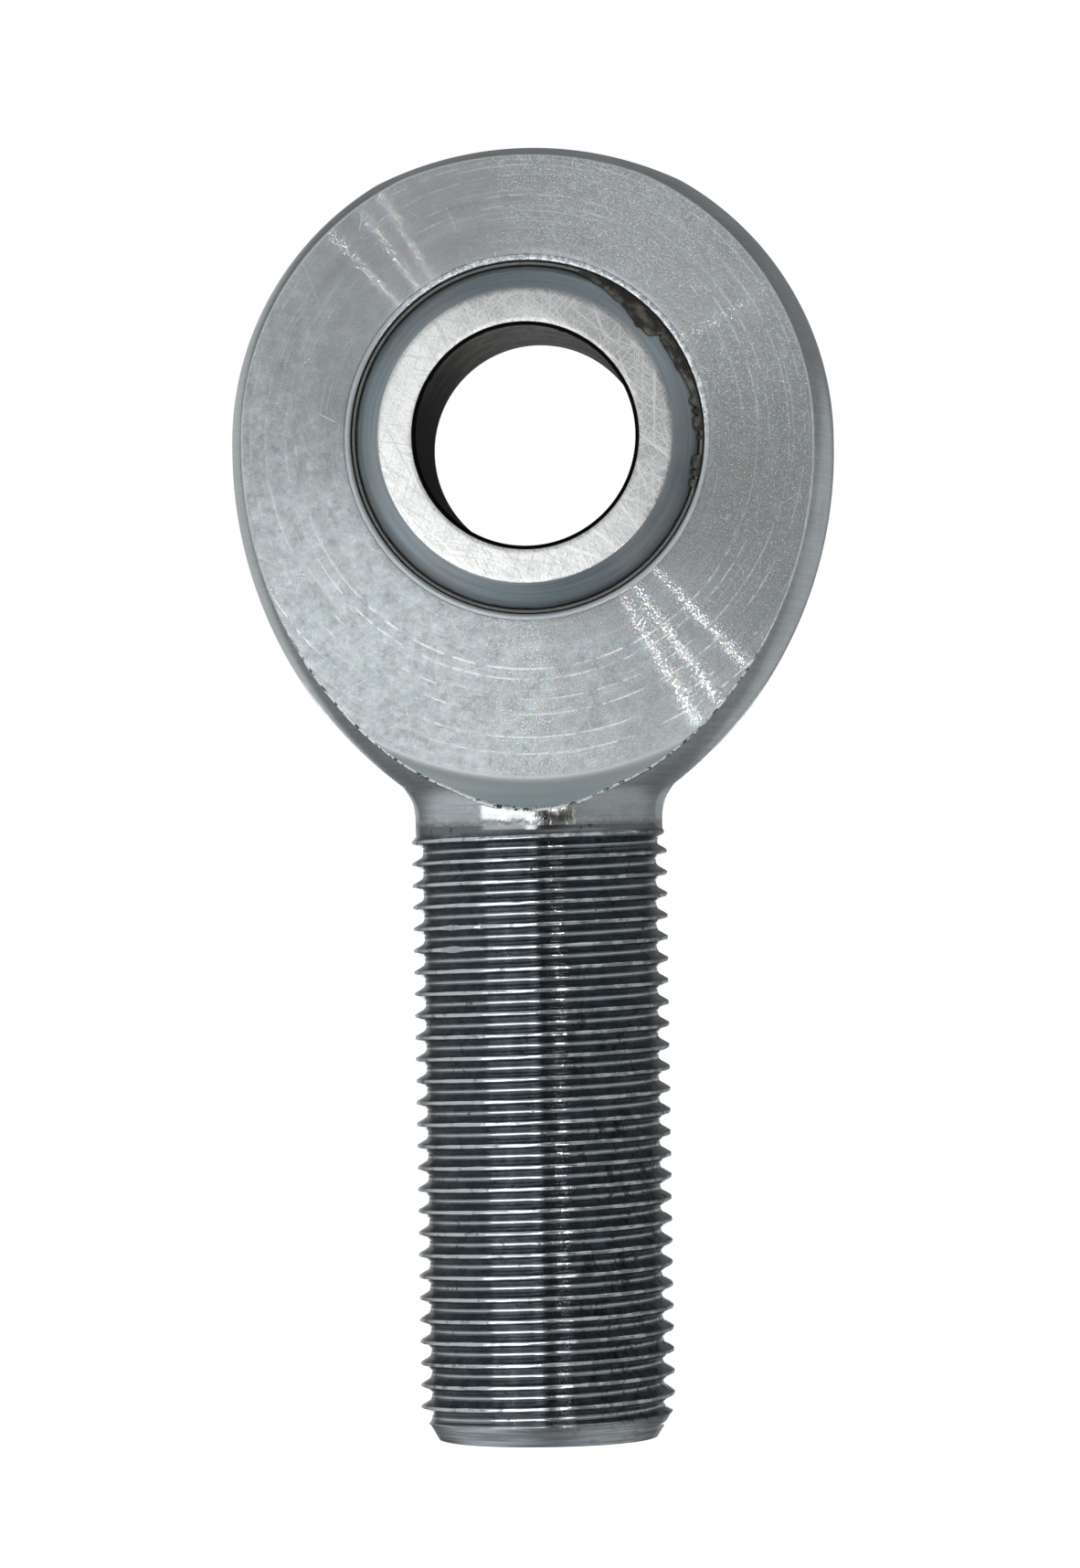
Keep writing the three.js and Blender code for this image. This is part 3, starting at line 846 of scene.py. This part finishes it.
def rolled_thread():
    """Dark, burnished flanks, with painted highlights on the crests and roots, the crests uneven like wear
    and painted darker towards the right. Grime darkens the thread a little, with painted shade added
    towards the right and the bottom.
    """
    f = Finish("rolled_thread")
    flat = f.join(f.x, f.y, 0.0)
    radius = f.vector_length(flat)
    direction = f.vector("NORMALIZE", flat)
    speck = f.noise(f.place, 3.6, 3.0, 0.7)
    streak = f.noise(f.round_shank(direction, 9.0, 1.3), 1.0, 3.0, 0.6)
    turn = f.math("DIVIDE", f.math("ARCTAN2", f.y, f.x), TAU)
    row = f.math("SUBTRACT", f.math("DIVIDE", f.math("SUBTRACT", f.z, SHANK_END), PITCH), turn)
    row = f.math("FRACT", f.math("SUBTRACT", row, THREAD_PHASE))
    from_root = f.math("ABSOLUTE", f.math("SUBTRACT", row, f.math("ROUND", row)))
    crest = f.ramp(from_root, 0.40, 0.43)
    bottom = f.ramp(from_root, 0.055, 0.03)
    above = f.ramp(f.z, THREAD_TOP - 0.35, THREAD_TOP - 0.15)
    below = f.ramp(f.z, SHANK_END + 2.0, SHANK_END + 1.2)
    crest = f.math("MULTIPLY", crest, f.ramp(radius, THREAD_RADIUS - 0.25, THREAD_RADIUS - 0.15))

    colour = f.mix(f.ramp(streak, 0.3, 0.7), (0.15, 0.17, 0.185), (0.24, 0.265, 0.285))
    colour = f.brighten(colour, f.ramp(speck, 0.2, 0.8, 0.8, 1.15))
    # Painted highlights: pale roots and pale crests, the crests uneven like wear and painted darker towards
    # the right.
    colour = f.mix(f.math("MULTIPLY", bottom, 0.9), colour, (0.70, 0.73, 0.76))
    crest_shade_right = f.ramp(f.x, -1.0, 5.0, 0.0, 0.16)
    worn = f.ramp(f.math("SUBTRACT", streak, crest_shade_right), 0.30, 0.46, 0.35, 1.0)
    colour = f.mix(f.math("MULTIPLY", crest, worn), colour, (0.82, 0.84, 0.86))
    for height, across, length, _ in NICKS:
        beside = f.math("DIVIDE", f.math("SUBTRACT", f.x, across), length)
        reach = f.math("MULTIPLY_ADD", f.math("MULTIPLY", beside, beside), 0.16, 0.34)
        leaf = f.ramp(f.math("SUBTRACT", from_root, reach), 0.0, 0.02)
        level = f.math("ABSOLUTE", f.math("SUBTRACT", f.z, height))
        leaf = f.math("MULTIPLY", leaf, f.ramp(level, 0.65, 0.6))
        leaf = f.math("MULTIPLY", leaf, f.math("LESS_THAN", f.y, 0.0))
        leaf = f.math("MULTIPLY", leaf, f.ramp(f.math("ABSOLUTE", beside), 1.0, 0.9))
        colour = f.mix(f.math("MULTIPLY", leaf, 0.9), colour, (0.62, 0.63, 0.66))
    colour = f.mix(above, colour, (0.25, 0.26, 0.265))
    turned = f.noise(f.round_shank(direction, 1.5, 6.0), 1.0, 3.0, 0.6)
    end_colour = f.brighten((0.60, 0.63, 0.655), f.ramp(turned, 0.3, 0.7, 0.55, 1.2))
    colour = f.mix(below, colour, end_colour)
    # Grime with painted shade: more of it towards the right and the bottom.
    shade_to_lower_right = f.math("MULTIPLY", f.ramp(f.x, -1.0, 5.0), f.ramp(f.z, -38.0, -55.0, 0.02, 0.08))
    grime_and_shade = f.ramp(f.math("ADD", f.noise(f.place, 0.95, 4.0, 0.8), shade_to_lower_right), 0.60, 0.68)
    grime_and_shade = f.math("MULTIPLY", grime_and_shade, f.math("SUBTRACT", 1.0, f.math("MULTIPLY", crest, 0.7)))
    grime_and_shade = f.math("MULTIPLY", grime_and_shade, f.math("SUBTRACT", 1.0, f.math("MULTIPLY", below, 0.75)))
    colour = f.mix(f.math("MULTIPLY", grime_and_shade, 0.75), colour, (0.035, 0.03, 0.022))
    rough = f.math("ADD", f.ramp(speck, 0.3, 0.7, 0.10, 0.17), f.math("MULTIPLY", grime_and_shade, 0.3))
    normal = f.bump(f.math("ADD", speck, streak), 0.005)
    return f.finish(f.metal(colour, rough, normal, f.join(0.0, 0.0, 1.0), 0.2))


def race_steel():
    f = Finish("race_steel")
    radius, direction = f.radial()
    fine = f.ring_noise(radius, direction, 9.0, 2.0)
    colour = f.brighten((0.50, 0.53, 0.55), f.ramp(fine, 0.25, 0.75, 0.85, 1.1))
    speck = f.noise(f.place, 4.0, 2.0, 0.7)
    # Painted highlight: near-white marks on the lip's upper right, among real bumps there.
    upper_right_crescent = f.ramp(f.math("ADD", f.z, f.math("MULTIPLY", f.x, 0.45)), 3.0, 9.0)
    dents_and_glints = f.noise(f.place, 2.4, 3.0, 0.8)
    colour = f.mix(f.math("MULTIPLY", upper_right_crescent, f.ramp(dents_and_glints, 0.46, 0.56)), colour, (0.95, 0.97, 0.98))
    normal = f.bump(f.math("ADD", fine, speck), 0.006)
    normal = f.bump(f.math("MULTIPLY", dents_and_glints, upper_right_crescent), 0.05, normal)
    return f.finish(f.metal(colour, f.ramp(speck, 0.3, 0.7, 0.34, 0.46), normal))


def liner_cloth():
    """Woven liner soaked in resin: olive brown on the flash that stands out, painted almost black as shade
    up to a little past its cut edge, where it shows in the gap.
    """
    f = Finish("liner_cloth")
    patch = f.noise(f.place, 0.9, 3.0, 0.6)
    fibre = f.noise(f.place, 6.0, 3.0, 0.75)
    colour = f.mix(f.ramp(patch, 0.40, 0.66), (0.03, 0.027, 0.022), (0.21, 0.195, 0.16))
    out = f.math("ABSOLUTE", f.y)
    # Painted shade: almost black up to a little past the cut edge, where the liner shows in the gap.
    colour = f.mix(f.ramp(out, LINER_EDGE + 0.06, LINER_EDGE + 0.2), (0.006, 0.006, 0.005), colour)
    radius, _ = f.radial()
    cut = f.math("MULTIPLY", f.ramp(out, LINER_EDGE - 0.12, LINER_EDGE - 0.06),
                 f.ramp(out, LINER_EDGE + 0.12, LINER_EDGE + 0.07))
    middle = f.math("MULTIPLY", f.ramp(radius, 12.50, 12.55), f.ramp(radius, 12.73, 12.70))
    colour = f.mix(f.math("MULTIPLY", cut, middle), colour, (0.22, 0.22, 0.205))
    colour = f.brighten(colour, f.ramp(fibre, 0.25, 0.75, 0.55, 1.25))
    normal = f.bump(fibre, 0.06)
    shader = f.node("ShaderNodeBsdfPrincipled", {
        "Base Color": colour, "Roughness": 0.55, "Normal": normal}).outputs[0]
    return f.finish(shader)


def ball_steel():
    """Ground flats with swirling scratches, a lapped bluish sphere and a stained bore, all with painted
    light and shade.
    """
    f = Finish("ball_steel")
    radius, direction = f.radial()
    out = f.math("ABSOLUTE", f.y)
    on_flat = f.ramp(out, BALL_HALF_WIDTH - 0.05, BALL_HALF_WIDTH - 0.02)
    in_bore = f.ramp(radius, BORE_RADIUS + BORE_CHAMFER + 0.02, BORE_RADIUS + BORE_CHAMFER - 0.02)
    speck = f.noise(f.place, 4.5, 3.0, 0.7)

    # Ground flat, with a painted sheen that is lighter towards the lower left.
    swirl = f.scratches((0.35, 0.7, 0.95, 1.25, 1.6, 2.3, 2.8), 6.0, 0.07, 0.62, 2.0)
    cloud = f.noise(f.place, 0.20, 2.0, 0.6)
    sheen = f.math("ADD", f.math("MULTIPLY", f.x, -0.03), f.math("MULTIPLY", f.z, -0.02))
    sheen = f.ramp(f.math("ADD", sheen, cloud), 0.15, 0.85)
    flat_colour = f.mix(sheen, (0.44, 0.445, 0.45), (0.84, 0.85, 0.84))
    # Painted light: lighter towards the upper left, and a little lighter at the bottom.
    flat_colour = f.brighten(flat_colour, f.ramp(f.math("SUBTRACT", f.z, f.x), -2.0, 9.0, 1.0, 1.17))
    flat_colour = f.brighten(flat_colour, f.ramp(f.z, -4.0, -9.0, 1.0, 1.05))
    flat_colour = f.brighten(flat_colour, f.ramp(speck, 0.25, 0.75, 0.80, 1.10))
    dull = f.scratches((0.15, 0.55, 1.1, 1.9), 5.0, 0.06, 0.62, 12.0)
    flat_colour = f.mix(f.math("MULTIPLY", dull, 0.45), flat_colour, (0.33, 0.33, 0.33))
    flat_colour = f.mix(f.math("MULTIPLY", swirl, 0.42), flat_colour, (1.0, 1.0, 0.99))

    # Lapped sphere under a cloudy film of oil, with painted light: lightest at the upper right and darkest
    # at the lower right.
    bands = f.ring_noise(out, direction, 3.0, 1.1, 3.0)
    zone_colour = f.mix(f.ramp(bands, 0.3, 0.7), (0.30, 0.36, 0.40), (0.45, 0.52, 0.555))
    right = f.ramp(f.x, -6.0, 6.0)
    zone_colour = f.brighten(zone_colour, f.blend(right, 1.08, f.ramp(f.z, -4.0, 6.0, 0.76, 1.22)))
    film = f.ramp(f.noise(f.place, 0.22, 2.0), 0.45, 0.62)
    zone_colour = f.mix(f.math("MULTIPLY", film, 0.35), zone_colour, (0.47, 0.44, 0.43))

    # Bore: brown stains with painted light, lighter upwards and almost black low down, a few black dots,
    # and the chamfer painted black as shade.
    stain = f.noise(f.place, 0.42, 4.0, 0.65)
    bore_colour = f.mix(f.ramp(stain, 0.38, 0.62), (0.035, 0.028, 0.022), (0.10, 0.09, 0.075))
    bore_colour = f.brighten(bore_colour, f.ramp(f.z, 0.5, BORE_RADIUS, 0.02, 1.35))
    spots_and_chamfer_shade = f.ramp(f.noise(f.place, 1.3, 2.0, 0.5), 0.62, 0.66)
    # Painted shade: the chamfer is drawn black.
    chamfer = f.ramp(radius, BORE_RADIUS + 0.02, BORE_RADIUS + 0.06)
    spots_and_chamfer_shade = f.math("MAXIMUM", spots_and_chamfer_shade, chamfer)
    bore_colour = f.mix(spots_and_chamfer_shade, bore_colour, (0.004, 0.004, 0.004))

    colour = f.mix(on_flat, zone_colour, flat_colour)
    colour = f.mix(in_bore, colour, bore_colour)
    rough = f.blend(in_bore, f.blend(on_flat, 0.38, 0.30), 0.55)
    metallic = f.blend(in_bore, f.blend(on_flat, 0.72, 1.0), 0.0)
    height = f.math("ADD", f.math("MULTIPLY", swirl, on_flat), f.math("MULTIPLY", speck, 0.3))
    normal = f.bump(height, 0.004)
    return f.finish(f.metal(colour, rough, normal, metallic=metallic, gloss=f.blend(in_bore, 0.5, 0.02)))


# ---- Assembly -----------------------------------------------------------------------------------

def place(piece, node, body, slot):
    """The body a piece rides on and the CAD node it replaces. slot is not used."""
    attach(piece, body)
    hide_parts(node)


body_piece = build_body().to_object(
    "rod_end_body_fine", [faced_zinc(), turned_zinc(), rolled_thread(), bright_edge()])
race_piece = build_race().to_object("outer_race_fine", [race_steel()])
liner_piece = build_liner().to_object("ptfe_liner_fine", [liner_cloth()])
ball_piece = build_ball().to_object("ball_fine", [ball_steel()])
place(body_piece, "rod_end_body", "housing", "body")
place(race_piece, "outer_race", "housing", "race")
place(liner_piece, "ptfe_liner", "liner", "liner")
place(ball_piece, "ball", "ball", "ball")


# ---- Stage, light and camera --------------------------------------------------------------------

def build_floor():
    """A wide white sheet under the shank's end, clear from below and not seen in reflections."""
    half = 6.0  # metres
    mesh = bpy.data.meshes.new("floor")
    corners = [(-half, -half, 0.0), (half, -half, 0.0), (half, half, 0.0), (-half, half, 0.0)]
    mesh.from_pydata(corners, [], [(0, 1, 2, 3)])
    floor = bpy.data.objects.new("floor", mesh)
    floor.location.z = BODY_LOW.z
    bpy.context.scene.collection.objects.link(floor)
    material = bpy.data.materials.new("white_sheet")
    material.use_nodes = True
    shader = material.node_tree.nodes["Principled BSDF"]
    shader.inputs["Base Color"].default_value = (0.9, 0.9, 0.9, 1.0)
    shader.inputs["Roughness"].default_value = 0.9
    shader.inputs["Emission Color"].default_value = (1.0, 1.0, 1.0, 1.0)
    shader.inputs["Emission Strength"].default_value = 0.85
    tree = material.node_tree
    clear = tree.nodes.new("ShaderNodeBsdfTransparent")
    side = tree.nodes.new("ShaderNodeNewGeometry")
    either = tree.nodes.new("ShaderNodeMixShader")
    tree.links.new(side.outputs["Backfacing"], either.inputs[0])
    tree.links.new(shader.outputs[0], either.inputs[1])
    tree.links.new(clear.outputs[0], either.inputs[2])
    tree.links.new(either.outputs[0], tree.nodes["Material Output"].inputs["Surface"])
    mesh.materials.append(material)
    floor.visible_glossy = False
    floor.visible_diffuse = False
    floor.visible_shadow = False


# Soft parts of the studio: direction, cosine where it ends, cosine where it is full, strength.
AMBIENT = 0.10
STUDIO = (
    ((0, 1, 0), 0.6, 0.97, 0.08),            # white paper behind the object
    ((-1, -0.35, -0.05), 0.1, 0.9, 0.42),    # open side on the left
    ((1, -0.1, -0.2), 0.3, 0.98, 0.26),      # faint glow on the right
    ((0.4, 0.92, -0.1), 0.96, 0.985, 0.17),  # paper seen round the right edge
    ((-0.34, 0.94, 0), 0.96, 0.985, 0.26),   # and round the left edge
    ((0.5, -0.62, 0.61), 0.75, 0.97, 0.30),  # high on the right
    ((0, -0.2, 1), 0.3, 0.95, 0.12),         # faint light above
    ((0, -0.2, -1), 0.3, 0.95, 0.12),        # and back from the table
)


def build_world():
    """White to the camera. In reflections, a studio: open on the left, dim on the right and above."""
    world = bpy.data.worlds.new("studio")
    bpy.context.scene.world = world
    world.use_nodes = True
    tree = world.node_tree
    tree.nodes.clear()

    def node(kind, inputs=None, **settings):
        made = tree.nodes.new(kind)
        for key, value in settings.items():
            setattr(made, key, value)
        for key, value in (inputs or {}).items():
            if isinstance(value, bpy.types.NodeSocket):
                tree.links.new(value, made.inputs[key])
            else:
                made.inputs[key].default_value = value
        return made

    def along(toward, low, high, strength):
        """strength where the ray runs along toward, easing to 0 as their cosine falls to low."""
        cosine = node("ShaderNodeVectorMath", {0: ray, 1: unit(np.array(toward, float)).tolist()},
                      operation="DOT_PRODUCT").outputs["Value"]
        inputs = {"Value": cosine, 1: low, 2: high, 3: 0.0, 4: strength}
        return node("ShaderNodeMapRange", inputs, interpolation_type="SMOOTHSTEP").outputs[0]

    ray = node("ShaderNodeTexCoord").outputs["Generated"]
    level = AMBIENT
    for toward, low, high, strength in STUDIO:
        part = along(toward, low, high, strength)
        level = node("ShaderNodeMath", {0: level, 1: part}, operation="ADD").outputs[0]
    seen = node("ShaderNodeBackground", {"Color": (1.0, 1.0, 1.0, 1.0), "Strength": 1.0}).outputs[0]
    lit = node("ShaderNodeBackground", {"Color": (0.95, 0.985, 1.0, 1.0), "Strength": level}).outputs[0]
    is_camera = node("ShaderNodeLightPath").outputs["Is Camera Ray"]
    mixed = node("ShaderNodeMixShader", {0: is_camera, 1: lit, 2: seen}).outputs[0]
    node("ShaderNodeOutputWorld", {"Surface": mixed})


def aim(thing, target):
    thing.rotation_mode = "QUATERNION"
    thing.rotation_quaternion = (Vector(target) - thing.location).to_track_quat("-Z", "Y")


def direction(azimuth, elevation):
    """Unit vector; azimuth 0 is towards the camera's side (-Y), positive to the right."""
    a, e = math.radians(azimuth), math.radians(elevation)
    return Vector((math.sin(a) * math.cos(e), -math.cos(a) * math.cos(e), math.sin(e)))


# Size of the small lamps and their distance from the ball's centre.
GLINT_RADIUS = 1.6
GLINT_DISTANCE = 360


def hang(name, light, azimuth, elevation, distance):
    """Hangs a light at a distance from the ball's centre, facing it and hidden from the camera."""
    lamp = bpy.data.objects.new(name, light)
    lamp.location = CENTRE + direction(azimuth, elevation) * distance * MM
    aim(lamp, CENTRE)
    lamp.visible_camera = False
    bpy.context.scene.collection.objects.link(lamp)


def soft_light(name, azimuth, elevation, distance, width, height, watts):
    """A flat rectangular lamp, its sizes in millimetres."""
    light = bpy.data.lights.new(name, "AREA")
    light.shape = "RECTANGLE"
    light.size = width * MM
    light.size_y = height * MM
    light.energy = watts
    hang(name, light, azimuth, elevation, distance)


def small_light(name, azimuth, elevation, watts):
    """A small round lamp, for the sharp streaks on the flats."""
    light = bpy.data.lights.new(name, "POINT")
    light.shadow_soft_size = GLINT_RADIUS * MM
    light.energy = watts
    hang(name, light, azimuth, elevation, GLINT_DISTANCE)


def build_lights():
    soft_light("window", -26.5, -20, 330, 293, 215, 0.227)
    soft_light("strip", -4, -2, 330, 50, 70, 0.036)
    # For the sides and the back.
    soft_light("back", 184, -20, 330, 150, 160, 0.11)
    soft_light("side_right", 112, 46, 360, 200, 200, 0.045)
    soft_light("side_left", -112, 46, 360, 200, 200, 0.035)
    for name, azimuth, elevation, watts in (
        ("glint_low", 17.0, -28.8, 0.27),
        ("glint_middle", 20.0, -27.0, 0.24),
        ("glint_right", 23.8, -23.4, 0.21),
        ("glint_left", -30.0, -11.0, 0.08),
    ):
        small_light(name, azimuth, elevation, watts)


# Camera: its long lens looks slightly up from below the eye's height, a little to the right.
CAMERA_AZIMUTH = 3.4
CAMERA_BELOW_EYE = 30.0
CAMERA_DISTANCE = 470.0
CAMERA_ROLL = 0.9
AIM_RIGHT = 0.12
AIM_BELOW_EYE = 25.05
LENS = 146.8


def build_camera():
    data = bpy.data.cameras.new("camera")
    data.lens = LENS
    data.sensor_width = 36.0
    data.clip_start = 0.01
    data.clip_end = 20.0
    camera = bpy.data.objects.new("camera", data)
    bpy.context.scene.collection.objects.link(camera)
    out = direction(CAMERA_AZIMUTH, 0) * CAMERA_DISTANCE * MM
    camera.location = CENTRE + out - Vector((0, 0, CAMERA_BELOW_EYE * MM))
    right = Vector((0, 0, 1)).cross(out).normalized()
    target = CENTRE + right * AIM_RIGHT * MM - Vector((0, 0, AIM_BELOW_EYE * MM))
    aim(camera, target)
    roll = Matrix.Rotation(math.radians(-CAMERA_ROLL), 3, "Z").to_quaternion()
    camera.rotation_quaternion = camera.rotation_quaternion @ roll
    bpy.context.scene.camera = camera


build_floor()
build_world()
build_lights()
build_camera()
bpy.context.scene.view_settings.view_transform = "Standard"
